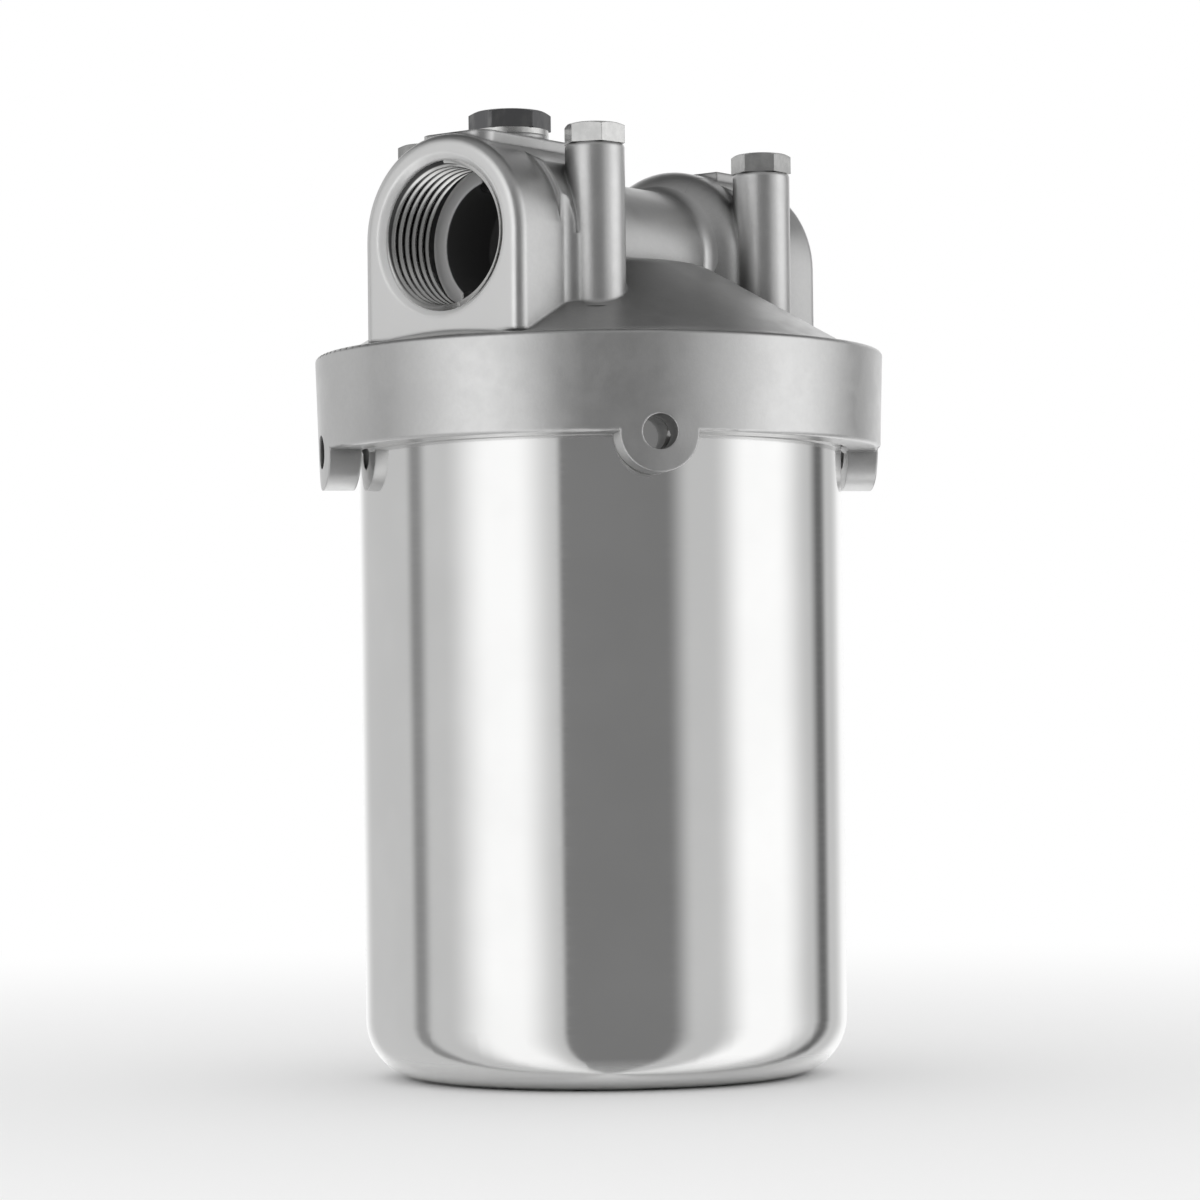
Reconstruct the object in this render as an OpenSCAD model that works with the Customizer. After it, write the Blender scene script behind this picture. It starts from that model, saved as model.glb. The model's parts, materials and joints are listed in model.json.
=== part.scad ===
// Water filter housing with side ports.
// A cast head carries two arched port blocks, a cross tube between them and four bracket posts.
// A drawn bowl hangs under the head, held by a lock ring with four spanner lugs.
// Inside, a spring presses a short pleated cartridge against the outlet nipple.
// Millimetres, +Z up. The ports lie along X and the bowl stands on z = 0 at the origin.

/* [Bowl] */
// Outside diameter of the bowl just under its flange
bowl_d = 110.6; // [106:0.2:114]
// Height from the foot of the bowl to the top of its flange
bowl_h = 149.5; // [146:0.5:170]
// Thickness of the drawn sheet
bowl_wall = 1.5; // [1.2:0.1:2]
// Radius that the wall loses from the flange to the foot
bowl_taper = 0.5; // [0:0.1:1]
// Outside radius of the corner at the foot
bowl_corner_r = 13; // [9:0.5:16]
// Width of the flange outside the wall
flange_w = 4; // [3.8:0.1:5]
// Outside radius of the bend between wall and flange
flange_bend_r = 1.5; // [1:0.1:1.8]

/* [Lock ring] */
// Height of the lock ring without its lugs
ring_h = 22; // [20:0.5:25]
// Wall outside the ring's thread
ring_wall = 4.7; // [4:0.1:6]
// Depth of the coarse thread between head and ring
thread_depth = 1; // [0.8:0.1:1.4]
// Pitch of that thread
thread_pitch = 4; // [3:0.5:5]
// Thickness of the lip that carries the bowl's flange
ring_lip = 4.5; // [4.2:0.1:5.5]
// Draft of the ring's outside over its height
ring_draft = 0.7; // [0:0.1:1.2]
// Outside radius of a spanner lug
lug_r = 8.7; // [7:0.1:10]
// Thickness of a lug along the ring's radius
lug_t = 8; // [6:0.1:8.8]
// Diameter of the spanner hole in a lug
lug_hole_d = 7.7; // [6:0.1:8]
// Place of the first lug round the ring, in degrees from +X
lug_turn = 49.5; // [0:0.5:89.5]
// Thickness of the slip ring under the flange
slip_t = 1.5; // [1:0.1:2]

/* [Head casting] */
// Height of the port axis above the top of the ring
port_axis_h = 23.1; // [22.6:0.1:25]
// Distance of a port face from the middle
port_reach = 56.2; // [55:0.1:57]
// Width of a port block
port_block_w = 44.8; // [43:0.2:45.6]
// Radius of the rim round a port face
port_rim_r = 2.5; // [1.5:0.1:3]
// Distance of a port block's inner end from the middle
port_inner = 20; // [18:0.5:21]
// Rounding of the outlet block's inner end
outlet_shoulder_r = 8; // [4:0.5:8.5]
// Outside diameter of the cross tube
tube_d = 34; // [32:0.5:36]
// Height of the flat crown of the head above the top of the ring
dome_h = 20.5; // [19:0.1:22]
// Slope of the head's shoulder in degrees
dome_slope = 30; // [27:0.5:32]
// Rounding between crown and shoulder
dome_round_r = 12; // [8:0.5:16]
// Length of the spigot that enters the bowl
spigot_h = 11; // [10:0.5:14]
// Wall of the spigot
spigot_wall = 7; // [6:0.1:8]
// Height of the flat pad on a port block above the port axis
pad_h = 22.9; // [22.8:0.1:23.5]
// Width of that pad
pad_w = 19; // [18:0.5:20]
// Depth of the boss that holds the outlet nipple, below the top of the ring
boss_drop = 8; // [7:0.5:9]
// Outside diameter of that boss
boss_d = 34; // [30:0.5:38]

/* [Ports] */
// Outside diameter of the pipe thread in a port
port_thread_d = 33.25; // [32:0.05:34]
// Depth of the threaded counterbore with its relief groove
port_thread_l = 16.3; // [15.5:0.1:17.5]
// Width of the relief groove at the end of the thread
port_groove_w = 2; // [1.5:0.1:2.5]
// Chamfer at the mouth of the thread
port_chamfer = 1.3; // [0.8:0.1:1.6]
// Length of the conical seat behind the thread
port_seat_l = 3; // [2:0.1:3.5]
// Diameter of the water way behind it
passage_d = 28; // [24:0.5:29]
// Metal between the outlet water way and the chamber below it
passage_wall = 5.5; // [5:0.5:6.5]
// Distance of the inlet drop from the middle
drop_x = 33.5; // [32.5:0.5:34]
// Diameter of the inlet drop
drop_d = 20; // [16:0.5:21]

/* [Bracket posts] */
// Spacing of the posts along X
post_dx = 63; // [61:0.5:65]
// Spacing of the posts along Y
post_dy = 48; // [46:0.5:50]
// Diameter of a post
post_d = 13.2; // [12:0.1:14]
// Height of the post tops above the top of the ring
post_h = 43.2; // [41:0.1:45]
// Rounding of a post's top edge
post_edge_r = 0.9; // [0.3:0.1:1]
// Radius of the fillet between a post and its port block
post_fillet_r = 4; // [3:0.5:5]
// Distance that this fillet laps in over the port block
post_fillet_lap = 10; // [8:0.5:12]
// Diameter of the bracket bolts
bolt_d = 8; // [6:0.5:8]
// Length of a bracket bolt under its head
bolt_l = 16; // [12:0.5:20]
// Width across the flats of a bracket bolt
bolt_af = 12; // [10:0.1:13]
// Height of a bracket bolt's head
bolt_head_h = 4.4; // [3.5:0.1:5.5]

/* [Vent plug] */
// Distance of the vent plug from the middle
plug_x = 31.5; // [30.5:0.5:33]
// Outside diameter of the plug's thread
plug_d = 13.1; // [10:0.1:13.5]
// Length of the plug below its head
plug_l = 10; // [8:0.5:11]
// Width across the flats of the plug
plug_af = 16; // [14:0.1:17]
// Height of the plug's head
plug_head_h = 4.2; // [3.5:0.1:6]
// Diameter of the collar and the washer under the plug
collar_d = 17.4; // [17:0.1:18]
// Height of the collar cast on the pad
collar_h = 1.2; // [0.8:0.1:2]
// Thickness of the sealing washer
washer_t = 1.2; // [1:0.1:2]

/* [Cartridge] */
// Length of the cartridge with its gaskets
cartridge_l = 124; // [121.5:0.5:124.5]
// Outside diameter of the cartridge
cartridge_d = 63.5; // [58:0.5:72]
// Inside diameter of the cartridge's core
core_d = 28.4; // [27.5:0.1:30]
// Wall of the core
core_wall = 1.4; // [1:0.1:2]
// Diameter of the holes in the core
core_hole_d = 5; // [3:0.5:6]
// Number of pleats
pleats = 36; // [24:1:44]
// Thickness of the pleated media
media_t = 0.5; // [0.3:0.1:0.6]
// Thickness of an end cap
cap_t = 2.5; // [2:0.1:4]
// Height of the rim of an end cap
cap_rim = 6; // [4:0.5:10]
// Thickness of an end gasket
gasket_t = 3; // [2:0.1:4]
// Width of an end gasket
gasket_w = 10; // [8:0.5:12]

/* [Nipple and spring seat] */
// Diameter of the nipple's screwed stub
nipple_d = 20; // [16:0.5:21]
// Bore of the nipple
nipple_bore = 15; // [10:0.5:15.5]
// Length of the nipple's stub inside the boss
nipple_stub = 13; // [8:0.5:14]
// Diameter of the nipple's flange
nipple_flange_d = 48; // [46:0.5:52]
// Thickness of the nipple's flange
nipple_flange_t = 3; // [2:0.1:4]
// Length of the guides that enter the cartridge
guide_l = 9; // [6:0.5:12]
// Height of the sealing edge under the flange
seal_edge = 1.2; // [0.8:0.1:1.6]
// Thickness of the gasket over the flange
nipple_seal_t = 1.2; // [0.8:0.1:2]
// Thickness of the spring seat
seat_t = 2; // [1.5:0.1:3]
// Diameter of the spring seat
seat_d = 54; // [52:0.5:60]
// Depth of the skirt round the top of the spring
seat_skirt = 6; // [4:0.5:8]
// Wire of the spring
wire_d = 3; // [2:0.1:3.2]
// Middle diameter of the spring
spring_d = 44; // [40:0.5:45]
// Turns of the spring between its closed ends
spring_turns = 1.8; // [1.5:0.1:2]
// Thickness of the spring's locating dish
dish_t = 1.2; // [1:0.1:2]
// Height of the dish's raised middle
button_h = 3; // [2:0.5:4]

/* [Clearances] */
// Gap between flat faces that part when the housing is opened
face_gap = 0.05; // [0.02:0.01:0.1]
// Radial gap of a screw in its hole
screw_gap = 0.05; // [0.02:0.01:0.1]
// Radial gap between the bowl and what slides along it
bowl_gap = 0.35; // [0.3:0.05:0.5]
// Radial gap between a rubber ring and the wall that it seals on
seal_gap = 0.2; // [0.15:0.05:0.3]
// Radial gap between a guide and the core
guide_gap = 0.5; // [0.3:0.1:1]

/* [Hidden] */
$fn = 96;

// Places up the bowl and the ring
bowl_r = bowl_d / 2;
bowl_in_r = bowl_r - bowl_wall;
flange_r = bowl_r + flange_w;
flange_z = bowl_h - bowl_wall;
slip_z = flange_z - face_gap - slip_t;
shoulder_z = slip_z - face_gap;
ring_z = shoulder_z - ring_lip;
ring_top = ring_z + ring_h;
ring_lip_r = bowl_r + bowl_gap;
ring_bore_r = flange_r + thread_depth;
ring_r = ring_bore_r + ring_wall;
ring_edge_r = 1.2;
lug_in_r = ring_r - lug_t;
slip_in_r = bowl_r + flange_bend_r + 0.1;

// Head
skirt_r = flange_r;
skirt_z = bowl_h + face_gap;
spigot_r = bowl_in_r - bowl_gap;
spigot_in_r = spigot_r - spigot_wall;
spigot_z = skirt_z - spigot_h;
port_z = ring_top + port_axis_h;
block_w = port_block_w / 2;
pad_z = port_z + pad_h;
dome_top = ring_top + dome_h;
dome_foot_r = skirt_r - 2.3;
dome_foot_z = ring_top + 1.5;
dome_crown_r = dome_foot_r - (dome_top - dome_foot_z) / tan(dome_slope);
chamber_top = port_z - passage_d / 2 - passage_wall;
boss_z = ring_top - boss_drop;
thread_rows = floor((ring_top - skirt_z - 2.2) / thread_pitch);
passage_end = nipple_d / 2 + 1;
inlet_way_end = drop_x - drop_d / 2 - 1.5;
post_top = ring_top + post_h;

// Bowl seal in the spigot's groove
seal_cord = 3.5;
seal_r = bowl_in_r - seal_gap - seal_cord / 2;
groove_r = seal_r - seal_cord / 2 - face_gap;
groove_h = seal_cord + 0.7;
seal_z = spigot_z + 5;

// Cartridge hung under the nipple
nipple_z = boss_z - nipple_seal_t - nipple_flange_t;
cart_top = nipple_z - seal_edge - face_gap;
cart_bottom = cart_top - cartridge_l;
cap_top_z = cart_top - gasket_t;
cap_bottom_z = cart_bottom + gasket_t;
core_r = core_d / 2;
core_out_r = core_r + core_wall;
cart_r = cartridge_d / 2;
cap_rim_t = 1.1;
guide_r = core_r - guide_gap;
edge_r = core_r + gasket_w / 2;

// Spring seat, spring and dish
seat_z = cart_bottom - face_gap - seat_t;
skirt_wall = 1.5;
dish_z = bowl_wall + dish_t;
spring_z = dish_z + face_gap;
spring_h = seat_z - face_gap - spring_z;

// A ring about Z
module ring(r_out, r_in, z, h) {
  translate([0, 0, z])
    difference() {
      cylinder(r = r_out, h = h);
      translate([0, 0, -1]) cylinder(r = r_in, h = h + 2);
    }
}

// A hexagon head that stands on z = 0, chamfered on top
module hex_head(af, h) {
  corner_r = af / 2 / cos(30);
  intersection() {
    cylinder(r = corner_r, h = h, $fn = 6);
    cylinder(r1 = corner_r + 2 * h, r2 = af / 2 - 0.2, h = h * 1.0001);
  }
}

// A screw with its head on z = 0 and its shank below
module screw(af, head_h, d, l) {
  hex_head(af, head_h);
  translate([0, 0, -l + 1]) cylinder(d = d, h = l - 1 + 0.01);
  translate([0, 0, -l]) cylinder(d1 = d - 1.4, d2 = d, h = 1);
}

// What a round corner of radius r at p leaves over, for the corner that points to +X +Y
module corner_waste(p, r) {
  translate(p - [r, r])
    difference() {
      square(r + 1);
      circle(r, $fn = 48);
    }
}

// Half plan of a port block: X is half its width, Y runs from its inner end to its face
module block_profile(inner_r) {
  difference() {
    translate([0, port_inner]) square([block_w, port_reach - port_inner]);
    corner_waste([block_w, port_reach], port_rim_r);
    if (inner_r > 0)
      translate([0, 2 * port_inner]) mirror([0, 1]) corner_waste([block_w, port_inner], inner_r);
  }
}

// An arched port block towards +X: straight walls below the port axis, half a turn above it
module port_block(inner_r) {
  translate([0, 0, port_z]) {
    intersection() {
      rotate([0, 90, 0]) rotate_extrude() block_profile(inner_r);
      translate([0, -block_w - 1, 0]) cube([port_reach + 1, 2 * block_w + 2, block_w + 2]);
    }
    translate([0, 0, ring_top + 1 - port_z])
      linear_extrude(port_z - ring_top - 1)
        rotate(-90) {
          block_profile(inner_r);
          mirror([1, 0]) block_profile(inner_r);
        }
  }
  port_pad();
}

// The milled flat along the top of a port block
module port_pad() {
  pad_r = 4;
  pad_in = port_inner;
  pad_out = port_reach - port_rim_r - 1.2;
  translate([0, 0, port_z + pad_h / 2])
    linear_extrude(pad_h / 2) {
      translate([pad_in, -pad_w / 2]) square([pad_out - pad_in - pad_r, pad_w]);
      translate([pad_in, -pad_w / 2 + pad_r]) square([pad_out - pad_in, pad_w - 2 * pad_r]);
      for (side = [-1, 1])
        translate([pad_out - pad_r, side * (pad_w / 2 - pad_r)]) circle(pad_r);
    }
}

// A bracket post with a rounded top edge and a flared foot, on the Z axis
module post() {
  foot_z = dome_foot_z + (dome_foot_r - norm([post_dx, post_dy]) / 2 - post_d / 2) * tan(dome_slope) - 1;
  flare = 2;
  translate([0, 0, ring_top + 3]) cylinder(d = post_d, h = post_h - 3 - post_edge_r);
  translate([0, 0, post_top])
    rotate_extrude()
      difference() {
        translate([0, -post_edge_r - 1]) square([post_d / 2, post_edge_r + 1]);
        corner_waste([post_d / 2, 0], post_edge_r);
      }
  translate([0, 0, foot_z])
    rotate_extrude()
      difference() {
        square([post_d / 2 + flare, flare]);
        translate([post_d / 2 + flare, flare]) circle(flare, $fn = 48);
      }
}

// Plan of the hollow corner between a port block's side wall and the post at +X +Y
module post_fillet_plan() {
  dy = block_w + post_fillet_r - post_dy / 2;
  dx = sqrt(pow(post_d / 2 + post_fillet_r, 2) - dy * dy);
  reach_y = post_dy / 2 + dy * post_d / (post_d + 2 * post_fillet_r);
  difference() {
    translate([post_dx / 2, block_w - post_fillet_lap])
      square([dx, reach_y - block_w + post_fillet_lap]);
    translate([post_dx / 2 + dx, block_w + post_fillet_r]) circle(post_fillet_r + 0.1, $fn = 64);
  }
}

// That corner: straight up to the port axis, then folded over with the arch
module post_fillet() {
  low = ring_top + 4;
  translate([0, 0, low]) linear_extrude(port_z - low) post_fillet_plan();
  intersection() {
    translate([0, 0, port_z]) linear_extrude(block_w) post_fillet_plan();
    translate([0, 0, port_z]) rotate([0, 90, 0]) cylinder(r = block_w + 1.5, h = port_reach);
  }
}

// Skirt, spigot, shoulder and crown of the head, in one turn about Z
module head_body() {
  crown = [dome_crown_r - dome_round_r * tan(dome_slope / 2), dome_top - dome_round_r];
  slope_start = crown + dome_round_r * [sin(dome_slope), cos(dome_slope)];
  rotate_extrude($fn = 180) {
    difference() {
      polygon([
        [0, spigot_z], [spigot_r - 1, spigot_z], [spigot_r, spigot_z + 1], [spigot_r, skirt_z],
        [skirt_r, skirt_z], [skirt_r, ring_top + 0.5], [dome_foot_r, dome_foot_z],
        slope_start, [crown[0], dome_top], [0, dome_top]
      ]);
      translate([groove_r, seal_z - groove_h / 2]) square([10, groove_h]);
    }
    for (row = [0:thread_rows - 1])
      translate([skirt_r, skirt_z + 0.8 + thread_pitch * (row + 0.5)]) thread_crest();
    intersection() {
      translate(crown) circle(dome_round_r);
      square([skirt_r, dome_top + 1]);
    }
  }
}

// Section of one crest of the coarse thread that the lock ring turns on
module thread_crest() {
  crest = thread_depth - screw_gap;
  half = thread_pitch * 0.36;
  polygon([
    [-0.5, -half - 0.25], [0, -half], [crest, -half + crest * 0.6],
    [crest, half - crest * 0.6], [0, half], [-0.5, half + 0.25]
  ]);
}

// The chamber round the boss, where the dirty water turns down into the bowl
module head_chamber() {
  rotate_extrude($fn = 180)
    polygon([
      [0, spigot_z - 1], [spigot_in_r, spigot_z - 1], [spigot_in_r, ring_top - 2],
      [spigot_in_r - 10, chamber_top], [0, chamber_top]
    ]);
}

// A port in the +X face: chamfer, thread bore, relief groove, seat and water way in to x = end
module port_way(end) {
  bottom = port_reach - port_thread_l;
  translate([0, 0, port_z]) rotate([0, 90, 0]) {
    translate([0, 0, end]) cylinder(d = passage_d, h = port_reach - end);
    translate([0, 0, bottom - port_seat_l])
      cylinder(d1 = passage_d, d2 = port_thread_d - 1.6, h = port_seat_l + 0.01);
    translate([0, 0, bottom]) cylinder(d = port_thread_d + 1.2, h = port_groove_w);
    translate([0, 0, bottom]) cylinder(d = port_thread_d, h = port_thread_l + 1);
    translate([0, 0, port_reach - port_chamfer])
      cylinder(d1 = port_thread_d, d2 = port_thread_d + 4 * port_chamfer, h = 2 * port_chamfer);
  }
}

// Head casting: port blocks, cross tube, bracket posts and both water ways
module head() {
  color("silver")
  difference() {
    union() {
      difference() {
        head_body();
        head_chamber();
      }
      translate([0, 0, boss_z]) cylinder(d = boss_d, h = chamber_top + 1 - boss_z);
      port_block(outlet_shoulder_r);
      mirror([1, 0, 0]) port_block(0);
      translate([-port_inner - 1, 0, port_z]) rotate([0, 90, 0])
        cylinder(d = tube_d, h = 2 * port_inner + 2);
      translate([-plug_x, 0, pad_z - 1]) cylinder(d = collar_d, h = collar_h + 1);
      for (mx = [0, 1], my = [0, 1])
        mirror([mx, 0, 0]) mirror([0, my, 0]) {
          translate([post_dx / 2, post_dy / 2, 0]) post();
          post_fillet();
        }
    }
    // Clean side: in from the outlet port, down to the nipple
    port_way(-passage_end);
    translate([0, 0, boss_z - 1])
      cylinder(r = nipple_d / 2 + screw_gap, h = port_z - boss_z + 1);
    // Dirty side: in from the inlet port, down into the chamber
    mirror([1, 0, 0]) port_way(inlet_way_end);
    translate([-drop_x, 0, ring_top - 2]) cylinder(d = drop_d, h = port_axis_h + 2);
    translate([-plug_x, 0, port_z]) cylinder(r = plug_d / 2 + screw_gap, h = pad_h + collar_h + 1);
    for (x = [-1, 1], y = [-1, 1])
      translate([x * post_dx / 2, y * post_dy / 2, post_top - bolt_l - 4])
        cylinder(r = bolt_d / 2 + screw_gap, h = bolt_l + 5);
  }
}

// Four hexagon bolts that hold the bracket, each turned as it came to rest
module mounting_bolts() {
  clocking = [51, 20, 2, 40];
  color("gainsboro")
  for (i = [0:3])
    translate([(i < 2 ? -1 : 1) * post_dx / 2, (i % 2 == 0 ? -1 : 1) * post_dy / 2, post_top])
      rotate(clocking[i]) screw(bolt_af, bolt_head_h, bolt_d, bolt_l);
}

// Hexagon plug in the vent hole over the inlet
module vent_plug() {
  color("dimgray")
  translate([-plug_x, 0, pad_z + collar_h + washer_t])
    rotate(13) screw(plug_af, plug_head_h, plug_d, plug_l);
}

// Steel ring of the sealing washer under the plug
module plug_washer() {
  color("silver")
  translate([-plug_x, 0, 0])
    ring(collar_d / 2, plug_d / 2 + 1, pad_z + collar_h, washer_t);
}

// Rubber bead inside that washer
module plug_washer_seal() {
  color("black")
  translate([-plug_x, 0, 0])
    ring(plug_d / 2 + 1, plug_d / 2 + seal_gap, pad_z + collar_h + 0.1, washer_t - 0.2);
}

// Screwed nipple that the cartridge seals on, with a sharp edge under its flange
module outlet_nipple() {
  top = boss_z + nipple_stub;
  color("silver")
  rotate_extrude()
    polygon([
      [nipple_bore / 2, top], [nipple_d / 2 - 0.7, top], [nipple_d / 2, top - 0.7],
      [nipple_d / 2, nipple_z + nipple_flange_t], [nipple_flange_d / 2, nipple_z + nipple_flange_t],
      [nipple_flange_d / 2, nipple_z], [edge_r + 1, nipple_z], [edge_r, nipple_z - seal_edge],
      [edge_r - 1, nipple_z], [guide_r, nipple_z], [guide_r, nipple_z - guide_l + 2],
      [guide_r - 1, nipple_z - guide_l], [nipple_bore / 2, nipple_z - guide_l]
    ]);
}

// Flat gasket between the nipple's flange and the boss
module nipple_seal() {
  color("black")
  ring(boss_d / 2 - 1, nipple_d / 2 + 0.5, boss_z - nipple_seal_t, nipple_seal_t);
}

// Rubber ring in the spigot's groove
module bowl_seal() {
  color("black")
  translate([0, 0, seal_z])
    rotate_extrude($fn = 180) translate([seal_r, 0]) circle(d = seal_cord, $fn = 32);
}

// Half section of the lock ring, carried down as far as its lugs reach
module ring_profile() {
  low = ring_z - lug_r - 1;
  difference() {
    polygon([
      [ring_lip_r, ring_z + 1], [lug_in_r, ring_z - 0.2], [lug_in_r, low],
      [ring_r - ring_draft * (ring_top - low) / ring_h, low], [ring_r, ring_top],
      [ring_bore_r + 0.8, ring_top], [ring_bore_r, ring_top - 0.8],
      [ring_bore_r, shoulder_z], [ring_lip_r, shoulder_z]
    ]);
    corner_waste([ring_r, ring_top], ring_edge_r);
  }
}

// What is cut away below the ring between its lugs, with the ring's rounded lower edge
module lug_gaps() {
  difference() {
    rotate_extrude($fn = 180) {
      translate([ring_lip_r - 1, ring_z - lug_r - 2]) square([ring_r - ring_lip_r + 3, lug_r + 2]);
      mirror([0, 1]) corner_waste([ring_r - ring_draft + 0.1, -ring_z], ring_edge_r);
    }
    for (k = [0:3]) radial_cut(k, lug_r);
  }
}

// A cylinder on the axis of lug k, right through the ring's wall
module radial_cut(k, r) {
  rotate(lug_turn + 90 * k)
    translate([ring_lip_r - lug_t, 0, ring_z]) rotate([0, 90, 0]) cylinder(r = r, h = 3 * lug_t);
}

// Lock ring: threaded wall, inner lip and four lugs drilled for a spanner
module lock_ring() {
  color("silver")
  difference() {
    rotate_extrude($fn = 180) ring_profile();
    lug_gaps();
    for (k = [0:3]) radial_cut(k, lug_hole_d / 2);
  }
}

// Slip ring, so that the lock ring turns without dragging the bowl round
module slip_ring() {
  color("white")
  ring(flange_r + thread_depth / 2, slip_in_r, slip_z, slip_t, $fn = 180);
}

// Half section of the filled cup up to z = top, drawn in by t on every side
module cup_section(t, top) {
  foot_r = bowl_r - bowl_taper;
  polygon([
    [0, t], [foot_r - bowl_corner_r, t], [foot_r - t, bowl_corner_r], [bowl_r - t, top], [0, top]
  ]);
  translate([foot_r - bowl_corner_r, bowl_corner_r]) circle(bowl_corner_r - t);
}

// Bowl: drawn cup with a tapered wall, a round foot and a turned-out flange
module bowl() {
  bend = [bowl_r + flange_bend_r, flange_z - flange_bend_r];
  color("lightgray")
  rotate_extrude($fn = 180)
    difference() {
      union() {
        cup_section(0, bowl_h);
        translate([bowl_r - 1, flange_z]) square([flange_w + 1, bowl_wall]);
        difference() {
          translate([bowl_r - 1, bend[1]]) square([flange_bend_r + 1, flange_bend_r + 0.5]);
          translate(bend) circle(flange_bend_r, $fn = 48);
        }
      }
      cup_section(bowl_wall, bowl_h + 1);
      translate([bowl_in_r, bowl_h]) mirror([1, 0]) corner_waste([0, 0], flange_bend_r + bowl_wall);
    }
}

// Pressed dish welded to the floor of the bowl, with a raised middle inside the spring
module spring_locator() {
  button_r = spring_d / 2 - wire_d / 2 - 0.5;
  rim_r = spring_d / 2 + wire_d / 2 + 1;
  color("silver")
  rotate_extrude()
    polygon([
      [0, bowl_wall], [rim_r, bowl_wall], [rim_r, dish_z], [button_r, dish_z],
      [button_r - button_h / 2, dish_z + button_h], [0, dish_z + button_h]
    ]);
}

// Height of the spring's wire after t turns: closed turns at both ends, open ones between
function spring_rise(t) =
  let (closed = wire_d + 0.05,
       open = spring_h - wire_d - 2 * closed)
  t < 1 ? closed * t
  : t < 1 + spring_turns ? closed + open * (t - 1) / spring_turns
  : closed + open + closed * (t - 1 - spring_turns);

// Compression spring: a round wire swept up a helix
module seat_spring() {
  sides = 8;
  steps = round(20 * (spring_turns + 2));
  path = [for (i = [0:steps]) let (t = (spring_turns + 2) * i / steps) [360 * t, spring_rise(t)]];
  points = [
    for (p = path, k = [0:sides - 1])
      let (r = spring_d / 2 + wire_d / 2 * cos(360 * k / sides))
      [r * cos(p[0]), r * sin(p[0]), spring_z + wire_d / 2 + p[1] + wire_d / 2 * sin(360 * k / sides)]
  ];
  skin = [
    for (i = [0:steps - 1], k = [0:sides - 1])
      let (n = (k + 1) % sides)
      [i * sides + k, i * sides + n, (i + 1) * sides + n, (i + 1) * sides + k]
  ];
  color("gray")
  polyhedron(points, concat(
    [[for (k = [sides - 1:-1:0]) k]], skin, [[for (k = [0:sides - 1]) steps * sides + k]]
  ), convexity = 6);
}

// Cup that the spring presses up under the cartridge, with a guide in the core
module spring_seat() {
  top = seat_z + seat_t;
  color("whitesmoke")
  rotate_extrude()
    polygon([
      [0, seat_z], [seat_d / 2 - skirt_wall, seat_z], [seat_d / 2 - skirt_wall, seat_z - seat_skirt],
      [seat_d / 2, seat_z - seat_skirt], [seat_d / 2, top], [guide_r, top],
      [guide_r, top + guide_l - 2], [guide_r - 1.5, top + guide_l], [0, top + guide_l]
    ]);
}

// Perforated tube in the middle of the cartridge
module cartridge_core() {
  low = cap_bottom_z + cap_t;
  high = cap_top_z - cap_t;
  rows = 8;
  pitch = (high - low) / (rows + 1);
  color("white")
  difference() {
    ring(core_out_r, core_r, low, high - low);
    for (row = [1:rows], k = [0:2])
      translate([0, 0, low + row * pitch])
        rotate([0, 90, 60 * k + 30 * (row % 2)])
          cylinder(d = core_hole_d, h = 2 * core_out_r + 2, center = true, $fn = 24);
  }
}

// Outline of folded paper: tips at r_out, valleys at r_in
function pleat_outline(r_in, r_out) =
  [for (i = [0:2 * pleats - 1])
    let (a = 180 * i / pleats, r = i % 2 == 0 ? r_out : r_in) [r * cos(a), r * sin(a)]];

// Filter media: one sheet folded into upright pleats round the core
module pleated_media() {
  low = cap_bottom_z + cap_t;
  high = cap_top_z - cap_t;
  tip_r = cart_r - cap_rim_t - 0.2;
  root_r = core_out_r + 0.4;
  side_angle = atan((tip_r + root_r) / 2 * sin(180 / pleats) / (tip_r - root_r));
  fold = media_t / sin(side_angle);
  color("aliceblue")
  translate([0, 0, low])
    linear_extrude(high - low)
      difference() {
        polygon(pleat_outline(root_r + fold, tip_r));
        polygon(pleat_outline(root_r, tip_r - fold));
      }
}

// An end cap: a disc on z = 0 with its rim below
module end_cap() {
  color("royalblue")
  rotate_extrude()
    polygon([
      [core_r, 0], [cart_r - 0.8, 0], [cart_r, -0.8], [cart_r, -cap_rim],
      [cart_r - cap_rim_t, -cap_rim], [cart_r - cap_rim_t, -cap_t], [core_r, -cap_t]
    ]);
}

// Cap that closes the upper end of the pleats
module cartridge_top_cap() {
  translate([0, 0, cap_top_z]) end_cap();
}

// Cap that closes the lower end of the pleats
module cartridge_bottom_cap() {
  translate([0, 0, cap_bottom_z]) mirror([0, 0, 1]) end_cap();
}

// Gasket that takes the nipple's sealing edge
module top_gasket() {
  color("black")
  ring(core_r + gasket_w, core_r, cap_top_z, gasket_t);
}

// Gasket on the spring seat
module bottom_gasket() {
  color("black")
  ring(core_r + gasket_w, core_r, cart_bottom, gasket_t);
}

head();
outlet_nipple();
nipple_seal();
bowl_seal();
mounting_bolts();
vent_plug();
plug_washer();
plug_washer_seal();
lock_ring();
slip_ring();
bowl();
spring_locator();
seat_spring();
spring_seat();
cartridge_core();
pleated_media();
cartridge_top_cap();
cartridge_bottom_cap();
top_gasket();
bottom_gasket();
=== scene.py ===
import json
import math

import bmesh
import bpy
from mathutils import Matrix, Vector


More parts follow.
